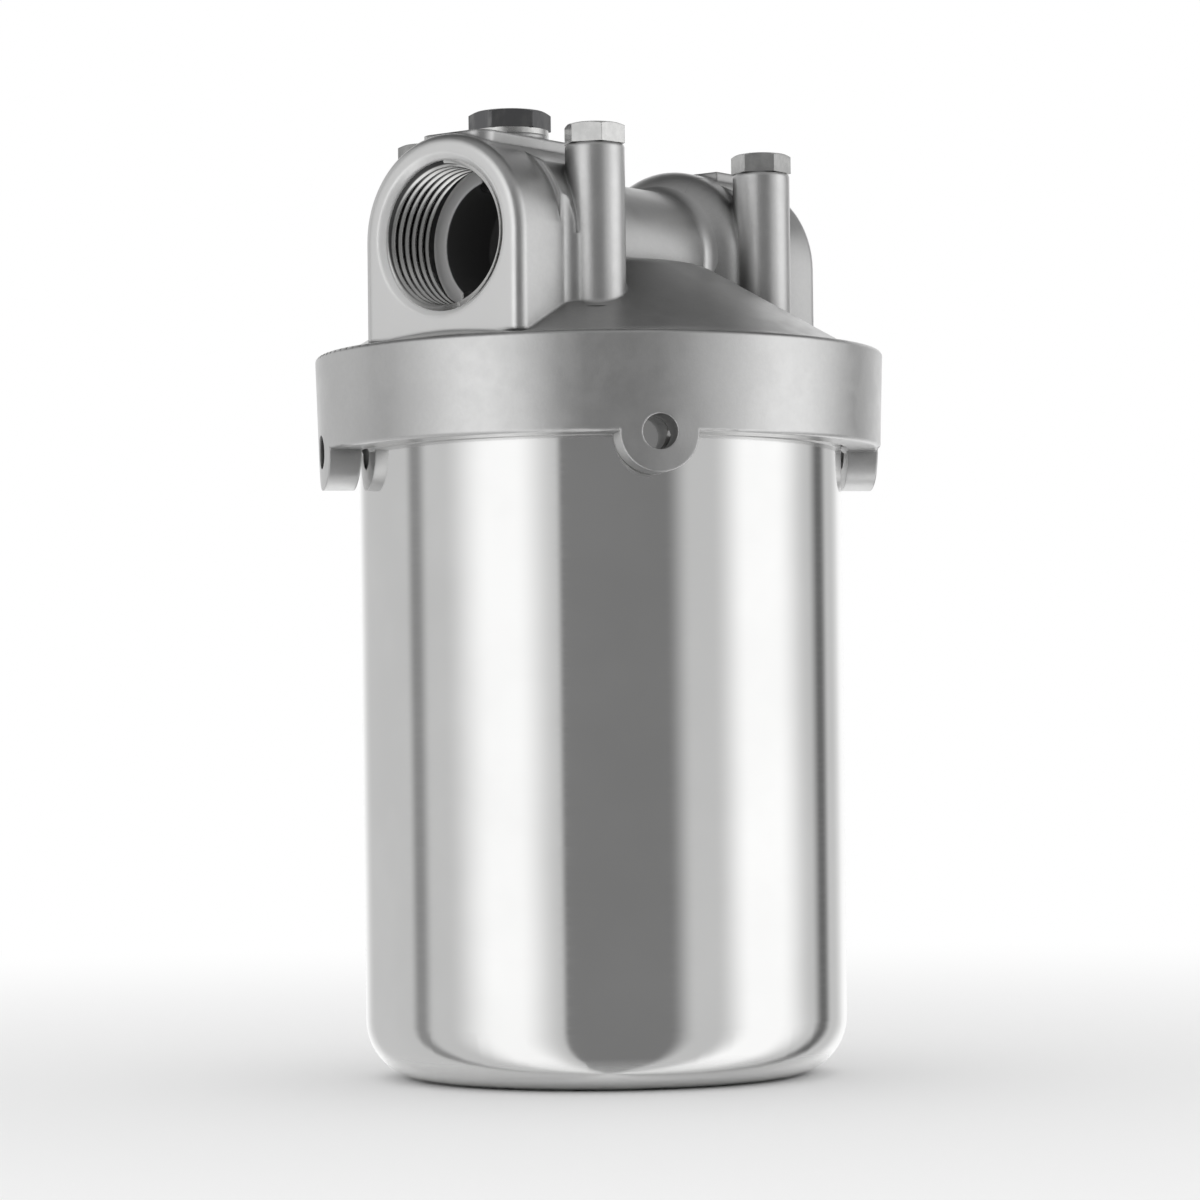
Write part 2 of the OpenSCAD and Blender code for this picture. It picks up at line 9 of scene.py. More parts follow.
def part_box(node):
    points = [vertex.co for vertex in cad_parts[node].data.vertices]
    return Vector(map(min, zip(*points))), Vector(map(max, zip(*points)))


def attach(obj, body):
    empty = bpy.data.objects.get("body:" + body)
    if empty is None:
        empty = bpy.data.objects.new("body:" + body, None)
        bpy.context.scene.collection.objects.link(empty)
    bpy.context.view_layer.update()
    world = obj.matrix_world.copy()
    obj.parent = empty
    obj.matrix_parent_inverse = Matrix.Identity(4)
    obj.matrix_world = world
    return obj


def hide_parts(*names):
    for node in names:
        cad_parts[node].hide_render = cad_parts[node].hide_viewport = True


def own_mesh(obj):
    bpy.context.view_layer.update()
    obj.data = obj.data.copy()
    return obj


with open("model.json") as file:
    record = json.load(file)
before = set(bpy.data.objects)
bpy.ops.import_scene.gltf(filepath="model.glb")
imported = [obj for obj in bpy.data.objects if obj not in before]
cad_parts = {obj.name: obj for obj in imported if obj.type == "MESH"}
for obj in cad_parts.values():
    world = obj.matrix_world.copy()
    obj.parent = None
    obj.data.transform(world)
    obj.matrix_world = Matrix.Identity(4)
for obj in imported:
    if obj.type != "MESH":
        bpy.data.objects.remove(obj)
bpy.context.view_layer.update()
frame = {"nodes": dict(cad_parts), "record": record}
nodes = frame["nodes"]
mounts = {mount["name"]: mount for mount in frame["record"]["mounts"]}

# Head casting
# One stainless steel casting with both port blocks, the cross tube and the four posts, shot
# blasted to an even satin. Pads, port mouths and threads are machined after casting.
port_z = mounts["inlet_port"]["pos_m"][2]
block_r = 0.0224
outlet_pad_z = port_z + block_r + 0.00006
thread_length = mounts["outlet_port"]["dims"]["length_mm"] / 1000
chamfer = 0.0013
port_face_x = mounts["outlet_port"]["pos_m"][0] + thread_length / 2 + chamfer
port_bore_r = 0.0182
water_way_r = 0.0142
seat_x = port_face_x - 0.019
mouth_x = port_face_x - 0.0021
fade = 0.0001
blast_grain = 2200
cast_colour = (0.70, 0.70, 0.697)
faced_colour = (0.84, 0.84, 0.835)
seat_painted_light_colour = (0.92, 0.92, 0.915)
shaded_colour = (0.085, 0.085, 0.086)


def new_finish(name, colour, metallic=0.0, roughness=0.5):
    """A material with one shader, whose even values sit on the shader's own sockets."""
    finish = bpy.data.materials.new(name)
    finish.use_nodes = True
    shader = finish.node_tree.nodes["Principled BSDF"]
    shader.inputs["Base Color"].default_value = (*colour, 1)
    shader.inputs["Metallic"].default_value = metallic
    shader.inputs["Roughness"].default_value = roughness
    return finish


def join(finish, value, socket):
    """Gives a socket a number, or the output of another node."""
    if isinstance(value, bpy.types.NodeSocket):
        finish.node_tree.links.new(value, socket)
    else:
        socket.default_value = value


def add(finish, kind, output, inputs, **settings):
    """Adds one node and returns the named output."""
    node = finish.node_tree.nodes.new("ShaderNode" + kind)
    for name, value in settings.items():
        setattr(node, name, value)
    for name, value in inputs.items():
        join(finish, value, node.inputs[name])
    return node.outputs[output]


def compute(finish, operation, a, b=0.0):
    """One step of arithmetic."""
    return add(finish, "Math", 0, {0: a, 1: b}, operation=operation)


def product(finish, *factors):
    """Several numbers multiplied together."""
    total = factors[0]
    for factor in factors[1:]:
        total = compute(finish, "MULTIPLY", total, factor)
    return total


def ramp(finish, value, start, end, low=0.0, high=1.0):
    """Goes smoothly from low to high as value goes from start to end."""
    inputs = {"Value": value, "From Min": start, "From Max": end, "To Min": low, "To Max": high}
    return add(finish, "MapRange", "Result", inputs, interpolation_type="SMOOTHSTEP")


def place(finish, stretch=(1, 1, 1), centre=(0, 0, 0)):
    """The point on the piece, in metres from centre and stretched."""
    point = add(finish, "TexCoord", "Object", {})
    moved = add(finish, "VectorMath", "Vector", {0: point, 1: centre}, operation="SUBTRACT")
    return add(finish, "VectorMath", "Vector", {0: moved, 1: stretch}, operation="MULTIPLY")


def coordinate(finish, letter, point):
    """The X, Y or Z of a point."""
    return add(finish, "SeparateXYZ", letter, {0: point})


def off_axis(finish, centre, across):
    """Distance from an axis through centre, where across is 1 on the two directions across it."""
    spot = place(finish, across, centre)
    return add(finish, "VectorMath", "Value", {0: spot}, operation="LENGTH")


def grain(finish, scale, detail=3.0, stretch=(1, 1, 1)):
    """Even noise with scale grains to a metre."""
    inputs = {"Vector": place(finish, stretch), "Scale": scale, "Detail": detail, "Roughness": 0.55}
    return add(finish, "TexNoise", "Fac", inputs)


def spread(finish, noise, low=0.0, high=1.0):
    """Spreads a noise, which seldom leaves 0.3 to 0.7, from low to high."""
    return ramp(finish, noise, 0.3, 0.7, low, high)


def shade(finish, amount, dark, light):
    """A colour between dark and light by amount."""
    tones = [(*tone, 1) if isinstance(tone, tuple) else tone for tone in (dark, light)]
    return add(finish, "Mix", 2, {0: amount, 6: tones[0], 7: tones[1]}, data_type="RGBA")


def blend(finish, amount, first, second):
    """A number between first and second by amount."""
    return add(finish, "Mix", 0, {0: amount, 2: first, 3: second}, data_type="FLOAT")


def set_shader(finish, name, value):
    """Feeds one input of the shader."""
    join(finish, value, finish.node_tree.nodes["Principled BSDF"].inputs[name])


def bump(finish, height, depth, under=None):
    """Bump from a height of 0 to 1 that stands depth metres high, over another normal."""
    inputs = {"Height": height, "Distance": depth, "Strength": 1.0}
    if under is not None:
        inputs["Normal"] = under
    return add(finish, "Bump", "Normal", inputs)


def soft_edge(finish, radius, samples=4):
    """A normal that rounds the piece's sharp edges off."""
    return add(finish, "Bevel", "Normal", {"Radius": radius}, samples=samples)


def scaled(colour, factor):
    """A lighter or darker tone of a colour."""
    return tuple(factor * part for part in colour)


def satin_casting(name, edge_r=None):
    """Blasted steel with a fine grain, and painted shade in its corners and hollows. Returns its colour and
    roughness too.
    """
    finish = new_finish(name, cast_colour, metallic=1.0)
    speckle = product(finish, grain(finish, 900), 0.5)
    tone = ramp(finish, compute(finish, "ADD", grain(finish, 45), speckle), 0.5, 1.0)
    colour = shade(finish, tone, scaled(cast_colour, 0.96), scaled(cast_colour, 1.03))
    # Ambient occlusion paints shade into hollows and corners: the colour goes darker where other surfaces
    # lie close.
    openness = add(
        finish, "AmbientOcclusion", "AO", {"Distance": 0.014}, samples=4, only_local=True,
    )
    out_of_painted_shade = ramp(finish, openness, 0.28, 0.92)
    colour = shade(finish, out_of_painted_shade, scaled(cast_colour, 0.34), colour)
    set_shader(finish, "Base Color", colour)
    edges = soft_edge(finish, edge_r, samples=6) if edge_r else None
    waves = bump(finish, grain(finish, 110, detail=1.0), 0.00003, edges)
    set_shader(finish, "Normal", bump(finish, grain(finish, blast_grain), 0.000016, waves))
    rough = spread(finish, grain(finish, 240), 0.31, 0.37)
    set_shader(finish, "Roughness", rough)
    return finish, colour, rough


cast_steel, cast_tone, cast_rough = satin_casting("cast_steel", edge_r=0.0011)
spot = place(cast_steel)
from_middle = compute(cast_steel, "ABSOLUTE", coordinate(cast_steel, "X", spot))
up_from_foot = coordinate(cast_steel, "Z", spot)
from_port_axis = off_axis(cast_steel, (0, 0, port_z), (0, 1, 1))

in_bore = ramp(cast_steel, from_port_axis, port_bore_r, port_bore_r - 2 * fade)
in_water_way = ramp(cast_steel, from_port_axis, water_way_r, water_way_r - 2 * fade)
past_seat = ramp(cast_steel, from_middle, seat_x + fade, seat_x + 4 * fade)
before_mouth = ramp(cast_steel, from_middle, mouth_x + 2 * fade, mouth_x - fade)
# Painted shade: the bore from the seat out to the thread's mouth, and the water way, take a flat dark
# colour.
in_thread = product(cast_steel, in_bore, past_seat, before_mouth)
in_shade = compute(cast_steel, "MAXIMUM", in_thread, in_water_way)

off_seat = compute(cast_steel, "ABSOLUTE", compute(cast_steel, "SUBTRACT", from_middle, seat_x))
at_seat = ramp(cast_steel, off_seat, 3 * fade, 2 * fade)
on_seat = product(cast_steel, in_bore, at_seat)
on_pad = ramp(cast_steel, up_from_foot, outlet_pad_z - 0.2 * fade, outlet_pad_z - 0.1 * fade)
on_rim = ramp(cast_steel, from_middle, port_face_x - 4 * fade, port_face_x - 2 * fade)
not_chamfer = product(cast_steel, in_bore, before_mouth)
in_chamfer = compute(cast_steel, "SUBTRACT", in_bore, not_chamfer)
on_face = compute(cast_steel, "MAXIMUM", in_chamfer, on_rim)

faced_tone = shade(cast_steel, on_face, cast_tone, faced_colour)
# The seat is machined and so lighter than the cast surface. Its near white colour with little metal is also
# painted light, which makes it read bright deep in the bore.
bare_tone = shade(cast_steel, on_seat, faced_tone, seat_painted_light_colour)
set_shader(cast_steel, "Base Color", shade(cast_steel, in_shade, bare_tone, shaded_colour))
seat_metal = blend(cast_steel, on_seat, 1.0, 0.10)
metal = blend(cast_steel, in_chamfer, seat_metal, 0.45)
set_shader(cast_steel, "Metallic", blend(cast_steel, in_water_way, metal, 0.0))
mill_marks = spread(cast_steel, grain(cast_steel, 60, stretch=(1, 30, 1)), 0.17, 0.26)
machined = compute(cast_steel, "MAXIMUM", on_seat, on_pad)
face_rough = blend(cast_steel, machined, cast_rough, mill_marks)
set_shader(cast_steel, "Roughness", blend(cast_steel, in_shade, face_rough, 0.6))

# Roots of the cross tube
# Where the cross tube runs into the two port blocks the casting has a hollow round all the
# way about it. It is one metal with the head.
tube_r = 0.017
block_end_x = 0.020
shoulder_r = 0.008
hollow_r = 0.004
tuck = 0.0006
smooth_cast = satin_casting("smooth_cast")[0]


def dress(mesh, data, sharp=math.radians(35)):
    """Writes a bmesh to a piece's mesh, facing outwards and smooth but for its sharp edges."""
    bmesh.ops.recalc_face_normals(mesh, faces=mesh.faces)
    for face in mesh.faces:
        face.smooth = True
    for edge in mesh.edges:
        edge.smooth = edge.calc_face_angle(0.0) < sharp
    mesh.to_mesh(data)
    mesh.free()


def make_piece(mesh, name, finish):
    """Turns a bmesh into a piece at the origin."""
    data = bpy.data.meshes.new(name)
    dress(mesh, data)
    data.materials.append(finish)
    piece = bpy.data.objects.new(name, data)
    bpy.context.scene.collection.objects.link(piece)
    return piece


def close_holes(mesh):
    """Fills every open loop of edges."""
    bmesh.ops.holes_fill(mesh, edges=[edge for edge in mesh.edges if edge.is_boundary], sides=0)


def spin_solid(profile, name, finish, axis=(0, 0, 1), centre=(0, 0, 0), steps=128, turns=1.0, rise=0.0):
    """A closed profile turned about an axis: a ring, or a helix if it rises along the axis."""
    mesh = bmesh.new()
    corners = [mesh.verts.new(point) for point in profile]
    edges = [mesh.edges.new(pair) for pair in zip(corners, corners[1:] + corners[:1])]
    whole = rise == 0.0
    stations = steps if whole else round(steps * turns)
    if not whole:
        mesh.faces.new(corners)
    bmesh.ops.spin(
        mesh, geom=corners + edges, cent=centre, axis=axis, dvec=Vector(axis) * rise / stations,
        angle=math.tau * turns, space=Matrix(), steps=stations, use_merge=whole,
        use_normal_flip=False, use_duplicate=False,
    )
    if not whole:
        close_holes(mesh)
    bmesh.ops.remove_doubles(mesh, verts=mesh.verts, dist=1e-7)
    return make_piece(mesh, name, finish)


def spin_on_ports(profile, side, name, finish, **turning):
    """Spins a profile of (along, out) pairs about the ports' common axis, on one side of the head."""
    outline = [(side * along, 0, port_z + out) for along, out in profile]
    return spin_solid(outline, name, finish, axis=(1, 0, 0), centre=(0, 0, port_z), **turning)


def arc(centre, radius, start, end, count):
    """Points on an arc, as (along, out) pairs, from start to end in degrees."""
    angles = [math.radians(start + (end - start) * i / count) for i in range(count + 1)]
    return [(centre[0] + radius * math.cos(a), centre[1] + radius * math.sin(a)) for a in angles]


for side, label, rounding in ((-1, "inlet", 0.0), (1, "outlet", shoulder_r)):
    sunk = max(tube_r + hollow_r - block_r + rounding, 0.0)
    from_shoulder = math.sqrt((rounding + hollow_r) ** 2 - sunk ** 2)
    hollow_x = block_end_x + rounding - from_shoulder
    last = -math.degrees(math.asin(sunk / (rounding + hollow_r)))
    hollow = arc((hollow_x, tube_r + hollow_r), hollow_r, -90, last, 12)
    hollow.append((hollow[-1][0] + tuck, hollow[-1][1] - tuck / 3))
    hollow.append((block_end_x + 2 * tuck, tube_r - tuck))
    hollow.append((hollow_x, tube_r - tuck))
    root = spin_on_ports(hollow, side, f"tube_root_{label}", smooth_cast)
    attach(root, "head")

# Port threads
# A 1 inch parallel pipe thread is cut in each port: 11 turns to the inch, with rounded crests.
# It starts out of the chamfer at the face and runs out into the relief groove.
thread_pitch = 0.002309
thread_crest_r = 0.015145
thread_wall_r = mounts["inlet_port"]["dims"]["r_mm"] / 1000
hidden_r = thread_wall_r + 0.0003
groove_depth = chamfer + thread_length
chamfer_end_x = port_face_x - chamfer
start_depth = 0.001
skim = 0.00003
cutter_in_r = 0.013
cutter_steps = 180
outside = 0.001
lead_in_reach = 0.00145
run_out_x = port_face_x - groove_depth + 0.00002
run_out_r = 0.0176
run_out_w = 0.003
# Painted shade in the thread's roots starts at the first radius and is full at the second.
crest_unshaded_r = 0.01560
root_shaded_r = 0.01595
turned_steel = new_finish("turned_steel", (0.70, 0.70, 0.69), metallic=1.0)
lathe_lines = grain(turned_steel, 1500, stretch=(1, 0.05, 0.05))
set_shader(turned_steel, "Roughness", spread(turned_steel, lathe_lines, 0.12, 0.24))
set_shader(turned_steel, "Normal", bump(turned_steel, lathe_lines, 0.000008))
warm = spread(turned_steel, grain(turned_steel, 150))
crest_tone = shade(turned_steel, warm, (0.64, 0.64, 0.63), (0.74, 0.74, 0.73))
off_port_axis = off_axis(turned_steel, (0, 0, port_z), (0, 1, 1))
along_port = compute(turned_steel, "ABSOLUTE", coordinate(turned_steel, "X", place(turned_steel)))
below_crest = ramp(turned_steel, off_port_axis, crest_unshaded_r, root_shaded_r)
in_wall = ramp(turned_steel, off_port_axis, port_bore_r + 2 * fade, port_bore_r - 2 * fade)
past_lead_in = ramp(turned_steel, along_port, chamfer_end_x - 3 * fade, chamfer_end_x - 6 * fade)
# Painted shade: inside the bore the port thread goes nearly black between its crests.
root_painted_shade = product(turned_steel, below_crest, in_wall, past_lead_in)
set_shader(turned_steel, "Base Color", shade(turned_steel, root_painted_shade, crest_tone, (0.05, 0.05, 0.05)))


def thread_ridge(middle):
    """Section of a pipe thread at a place along the port, as (along, out) pairs."""
    flank = [(0.00110, hidden_r), (0.00099, thread_wall_r - 0.00002)]
    flank += [(0.00034, thread_crest_r + 0.00021), (0.00017, thread_crest_r + 0.00004)]
    right = [(middle + half, out) for half, out in flank]
    left = [(middle - half, out) for half, out in flank[::-1]]
    return right + [(middle, thread_crest_r)] + left


def cut_away(piece, cutter):
    """Takes the cutter's volume out of a piece, and the cutter out of the scene."""
    difference = piece.modifiers.new("difference", "BOOLEAN")
    difference.operation = "DIFFERENCE"
    difference.solver = "EXACT"
    difference.object = cutter
    shown = piece.evaluated_get(bpy.context.evaluated_depsgraph_get())
    shaped = bpy.data.meshes.new_from_object(shown)
    piece.modifiers.remove(difference)
    bpy.data.objects.remove(cutter)
    mesh = bmesh.new()
    mesh.from_mesh(shaped)
    bmesh.ops.remove_doubles(mesh, verts=mesh.verts, dist=1e-7)
    dress(mesh, shaped)
    piece.data = shaped


lead_in = [
    (port_face_x + outside, cutter_in_r), (port_face_x + outside, thread_wall_r + chamfer + outside + skim),
    (chamfer_end_x, thread_wall_r + skim), (chamfer_end_x - lead_in_reach, cutter_in_r),
]
run_out = [
    (run_out_x, cutter_in_r), (run_out_x, run_out_r),
    (run_out_x - run_out_w, run_out_r), (run_out_x - run_out_w, cutter_in_r),
]
first_turns = {"inlet": -port_face_x + start_depth, "outlet": port_face_x - start_depth - groove_depth}
for side, label in ((-1, "inlet"), (1, "outlet")):
    thread = spin_on_ports(
        thread_ridge(first_turns[label]), 1, f"{label}_port_thread", turned_steel,
        steps=60, turns=groove_depth / thread_pitch, rise=groove_depth,
    )
    for waste in (lead_in, run_out):
        cut_away(thread, spin_on_ports(waste, side, "waste", turned_steel, steps=cutter_steps))
    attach(thread, "head")

# Machined places of the head
# The outlet's pad is milled down behind the block's rounded shoulder, and the webs beside the
# posts down to the arch. Each port is bored out behind its thread, up to a pipe's flat seat.
relief_r = 0.0175
relief_end_x = port_face_x - 0.016
web_x = 0.0314
web_end_x = 0.043
web_profile = [(0.0176, 0.01617), (0.0123, 0.01874), (0.0123, 0.0215), (0.0176, 0.0215)]
outlet_pad_x = 0.034
pad_end_x = 0.054
pad_half_w = 0.0097
mill_start_x = 0.0195
mill_out_r = 0.027
mill_low_z = port_z + 0.005
mill_lift = 0.002
shoulder_start = 161


def merged_copy(node):
    """A bmesh of a CAD node, with its loose triangles joined."""
    mesh = bmesh.new()
    mesh.from_mesh(nodes[node].data)
    bmesh.ops.remove_doubles(mesh, verts=mesh.verts, dist=1e-6)
    return mesh


def extruded(corners, along, name):
    """A cutter with the corners given, as long as the vector along."""
    block = bmesh.new()
    end = block.faces.new([block.verts.new(corner) for corner in corners])
    pushed = bmesh.ops.extrude_face_region(block, geom=[end], use_keep_orig=True)["geom"]
    far_corners = [part for part in pushed if isinstance(part, bmesh.types.BMVert)]
    bmesh.ops.translate(block, vec=along, verts=far_corners)
    return make_piece(block, name, cast_steel)


def saw_off(mesh, point, outward):
    """Takes away what lies outward of a plane through point, and closes the cut."""
    parts = mesh.verts[:] + mesh.edges[:] + mesh.faces[:]
    bmesh.ops.bisect_plane(mesh, geom=parts, plane_co=point, plane_no=outward, clear_outer=True)
    close_holes(mesh)


head_casting = make_piece(merged_copy("head"), "head_casting", cast_steel)
relief_profile = [
    (seat_x, cutter_in_r), (relief_end_x, cutter_in_r), (relief_end_x, relief_r), (seat_x, relief_r),
]
for side in (-1, 1):
    for hand in (-1, 1):
        web_corners = [(side * web_x, hand * out, port_z + up) for out, up in web_profile]
        web_cut = extruded(web_corners, (side * (web_end_x - web_x), 0, 0), "web_cut")
        cut_away(head_casting, web_cut)
    relief_ring = spin_on_ports(relief_profile, side, "relief_ring", cast_steel, steps=cutter_steps)
    cut_away(head_casting, relief_ring)

shoulder_centre = (block_end_x + shoulder_r, block_r - shoulder_r)
shoulder = arc(shoulder_centre, shoulder_r + skim, shoulder_start, 90, 28)
milled = [(mill_start_x, shoulder[0][1])] + shoulder
milled += [(outlet_pad_x, block_r + skim), (outlet_pad_x, mill_out_r), (mill_start_x, mill_out_r)]
mill_cut = spin_on_ports(milled, 1, "mill_cut", cast_steel, steps=256)
wedge = bmesh.new()
wedge.from_mesh(mill_cut.data)
saw_off(wedge, (0, pad_half_w, 0), (0, 1, 0))
saw_off(wedge, (0, -pad_half_w, 0), (0, -1, 0))
saw_off(wedge, (0, 0, mill_low_z), (0, 0, -1))
dress(wedge, mill_cut.data)
cut_away(head_casting, mill_cut)

pad_x = outlet_pad_x - outside
pad_outline = [(pad_x, -pad_half_w), (pad_end_x, -pad_half_w), (pad_end_x, pad_half_w), (pad_x, pad_half_w)]
pad_corners = [(x, y, outlet_pad_z) for x, y in pad_outline]
cut_away(head_casting, extruded(pad_corners, (0, 0, mill_lift), "pad_cut"))

flats = head_casting.modifiers.new("flats", "WEIGHTED_NORMAL")
flats.keep_sharp = True
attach(head_casting, "head")
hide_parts("head")

# Outlet nipple
# Turned from bar in one piece with its flange and its sealing edge, and screwed up into the
# head, so that the cartridge's upper gasket closes on it.


def give_finish(finish, *names):
    """Gives a finish to CAD nodes that keep their own shape."""
    for name in names:
        nodes[name].material_slots[0].material = finish


give_finish(turned_steel, "outlet_nipple")

# Rubber rings
# The bowl's O-ring, the nipple's flat gasket and the bead of the plug's washer are moulded
# nitrile rubber, dull black with a faint bloom.
rubber = new_finish("seal_rubber", (0.022, 0.022, 0.023), roughness=0.55)
bloom = ramp(rubber, grain(rubber, 400), 0.35, 0.75)
set_shader(rubber, "Base Color", shade(rubber, bloom, (0.016, 0.016, 0.017), (0.040, 0.040, 0.042)))
set_shader(rubber, "Roughness", ramp(rubber, bloom, 0.0, 1.0, 0.42, 0.66))
set_shader(rubber, "Normal", bump(rubber, grain(rubber, 1800), 0.00002))
give_finish(rubber, "bowl_seal", "nipple_seal", "plug_washer_seal")

# Bracket bolts
# Four M8 hexagon bolts in bright stainless steel fill the posts' tapped holes until a wall
# bracket is fitted. Their heads are forged and then faced on a lathe.
bolt_steel = new_finish("bolt_steel", (0.66, 0.66, 0.655), metallic=1.0)


def patches(finish, noise, low=0.0, high=1.0):
    """Spreads a noise from low to high as spread does, but leaves more of the surface at low."""
    return ramp(finish, noise, 0.35, 0.7, low, high)


draw_lines = grain(bolt_steel, 400, stretch=(1, 1, 0.4))
set_shader(bolt_steel, "Roughness", spread(bolt_steel, draw_lines, 0.20, 0.28))
bolt_edges = soft_edge(bolt_steel, 0.0003)
set_shader(bolt_steel, "Normal", bump(bolt_steel, draw_lines, 0.000003, bolt_edges))
stain = patches(bolt_steel, grain(bolt_steel, 220))
set_shader(bolt_steel, "Base Color", shade(bolt_steel, stain, (0.58, 0.58, 0.575), (0.71, 0.71, 0.70)))
give_finish(bolt_steel, "mounting_bolts")

# Vent plug
# A dark hexagon plug with a quarter inch parallel pipe thread closes the vent over the inlet.
# The head keeps the hexagon's outline, and the thread below it is cut on the shank.
plug_pitch = 0.001337
plug_crest_r = 0.00652
plug_core_r = 0.00572
plug_point = 0.0004
tip_height = 0.00012
overlap = 0.0002
plug_low, plug_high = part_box("vent_plug")
plug_seat_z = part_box("plug_washer")[1].z
plug_x = (plug_low.x + plug_high.x) / 2
first_turn_z = plug_low.z + 0.0006
last_turn_z = plug_seat_z - 0.0012
plug_steel = new_finish("plug_steel", (0.24, 0.24, 0.245), metallic=1.0)
scuff = ramp(plug_steel, grain(plug_steel, 330, stretch=(1, 1, 0.4)), 0.45, 0.75)
set_shader(plug_steel, "Base Color", shade(plug_steel, scuff, (0.20, 0.20, 0.205), (0.30, 0.30, 0.30)))
set_shader(plug_steel, "Roughness", ramp(plug_steel, scuff, 0.0, 1.0, 0.42, 0.28))
plug_edges = soft_edge(plug_steel, 0.0004)
set_shader(plug_steel, "Normal", bump(plug_steel, grain(plug_steel, 1500), 0.000008, plug_edges))

plug_head = merged_copy("vent_plug")
saw_off(plug_head, (0, 0, plug_seat_z + 1e-5), (0, 0, -1))
hexagon = make_piece(plug_head, "vent_plug_head", plug_steel)
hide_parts("vent_plug")

shank = [(0, plug_low.z), (plug_core_r - plug_point, plug_low.z), (plug_core_r, plug_low.z + plug_point)]
shank += [(plug_core_r, plug_seat_z + overlap), (0, plug_seat_z + overlap)]
shank = [(plug_x + out, 0, z) for out, z in shank]
core = spin_solid(shank, "vent_plug_shank", plug_steel, centre=(plug_x, 0, 0))

plug_ridge = [(plug_core_r - overlap, 0.00062), (plug_core_r + 0.00006, 0.00050)]
plug_ridge += [(plug_crest_r - 0.00008, 0.00017), (plug_crest_r, 0.00007)]
plug_turn = [(plug_x + out, 0, first_turn_z + half) for out, half in plug_ridge]
plug_turn += [(plug_x + out, 0, first_turn_z - half) for out, half in plug_ridge[::-1]]
run = last_turn_z - first_turn_z
screw = spin_solid(
    plug_turn, "vent_plug_thread", plug_steel, centre=(plug_x, 0, 0),
    steps=48, turns=run / plug_pitch, rise=run,
)
for vertex in screw.data.vertices:
    out = Vector((vertex.co.x - plug_x, vertex.co.y))
    tip_r = plug_core_r + tip_height + max(vertex.co.z - plug_low.z, 0.0)
    if out.length > tip_r:
        out = out.normalized() * tip_r
    vertex.co = (plug_x + out.x, out.y, max(vertex.co.z, plug_low.z + 0.0001))
for piece in (hexagon, core, screw):
    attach(piece, "vent_plug")

# Sealing washer
# The plug closes on a bonded washer: a flat ring of bright steel with the rubber bead
# moulded to its bore.


def worked_steel(name, colour, marks, stretch, rough, depth, dark, light):
    """Steel whose tool marks change its gloss, its skin and its tone together."""
    finish = new_finish(name, colour, metallic=1.0)
    skin = grain(finish, marks, stretch=stretch)
    set_shader(finish, "Roughness", spread(finish, skin, *rough))
    set_shader(finish, "Normal", bump(finish, skin, depth))
    set_shader(finish, "Base Color", shade(finish, skin, dark, light))
    return finish


washer_steel = worked_steel(
    "washer_steel", (0.70, 0.70, 0.695), marks=700, stretch=(1, 1, 1), rough=(0.22, 0.36),
    depth=0.00001, dark=(0.62, 0.62, 0.61), light=(0.76, 0.76, 0.75),
)
give_finish(washer_steel, "plug_washer")

# Lock ring
# A cast ring in the same blasted steel. Its lip carries the bowl's flange, a coarse thread in
# its bore draws it up on the head, and a spanner hooks into its four drilled lugs.
ring_bore_r = 0.0603
head_root_r = 0.0594
ring_pitch = 0.004
first_row_z = 0.15435
ring_steel = satin_casting("ring_steel", edge_r=0.0006)[0]
give_finish(ring_steel, "lock_ring")
coarse_ridge = [(ring_bore_r + 0.0003, 0.00125), (ring_bore_r, 0.00105), (head_root_r, 0.00048)]
for row in (1, 2):
    row_z = first_row_z + ring_pitch * (row - 1)
    row_section = [(out, 0, row_z + half) for out, half in coarse_ridge]
    row_section += [(out, 0, row_z - half) for out, half in coarse_ridge[::-1]]
    coarse_thread = spin_solid(row_section, f"lock_ring_thread_{row}", ring_steel, steps=180)
    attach(coarse_thread, "lock_ring")

# Slip ring
# A flat ring of white acetal lies between the lock ring's lip and the bowl's flange, so that
# the bowl stays still while the ring turns.
slip_plastic = new_finish("slip_plastic", (0.83, 0.83, 0.81), roughness=0.38)
rubbed = ramp(slip_plastic, grain(slip_plastic, 120, stretch=(1, 1, 6)), 0.4, 0.75)
set_shader(slip_plastic, "Base Color", shade(slip_plastic, rubbed, (0.84, 0.84, 0.82), (0.74, 0.74, 0.71)))
set_shader(slip_plastic, "Roughness", ramp(slip_plastic, rubbed, 0.0, 1.0, 0.32, 0.5))
set_shader(slip_plastic, "Normal", bump(slip_plastic, grain(slip_plastic, 900), 0.00001))
give_finish(slip_plastic, "slip_ring")

# Bowl
# Drawn from stainless sheet with a turned-out flange, then polished on a spindle. The polish
# leaves faint lines round the wall, which only show where a reflection breaks.
polished_steel = new_finish("polished_steel", (0.84, 0.84, 0.835), metallic=1.0)
spindle_lines = grain(polished_steel, 14, detail=4.0, stretch=(0.35, 0.35, 90))
set_shader(polished_steel, "Roughness", patches(polished_steel, spindle_lines, 0.07, 0.10))
slow_wave = bump(polished_steel, grain(polished_steel, 9, detail=1.0), 0.00015)
set_shader(polished_steel, "Normal", bump(polished_steel, spindle_lines, 0.0000012, slow_wave))
haze = patches(polished_steel, grain(polished_steel, 30))
bowl_tone = shade(polished_steel, haze, (0.83, 0.83, 0.825), (0.87, 0.87, 0.865))
set_shader(polished_steel, "Base Color", bowl_tone)
give_finish(polished_steel, "bowl")

# Spring's dish
# A pressed stainless dish, spot welded to the bowl's floor, keeps the spring in the middle.
# The press leaves it matt.
pressed_steel = worked_steel(
    "pressed_steel", (0.56, 0.56, 0.565), marks=600, stretch=(1, 1, 1), rough=(0.30, 0.45),
    depth=0.00002, dark=(0.50, 0.50, 0.505), light=(0.60, 0.60, 0.605),
)
give_finish(pressed_steel, "spring_locator")

